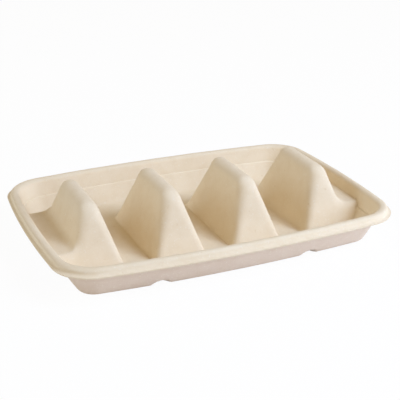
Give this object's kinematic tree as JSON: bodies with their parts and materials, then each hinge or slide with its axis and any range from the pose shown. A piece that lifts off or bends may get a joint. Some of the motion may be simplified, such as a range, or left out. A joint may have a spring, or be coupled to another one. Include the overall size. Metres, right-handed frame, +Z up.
{
  "type": "taco tray",
  "caption": "Open moulded-fibre taco tray: a shallow dish with a rolled rim, tapered hollow humps that hold folded tacos upright between them, and a raised shelf at each end.",
  "frame": {"origin": "middle of the base, on the surface that the tray stands on", "axes": "+X along the tray's length, across the tacos; +Y along the tacos, from the wall with the relief arches to the plain one; +Z up"},
  "size_m": [0.22, 0.153, 0.0395],
  "materials": {
    "pulp": "matte"
  },
  "bodies": {
    "root": {"tray": "pulp"}
  },
  "joints": []
}
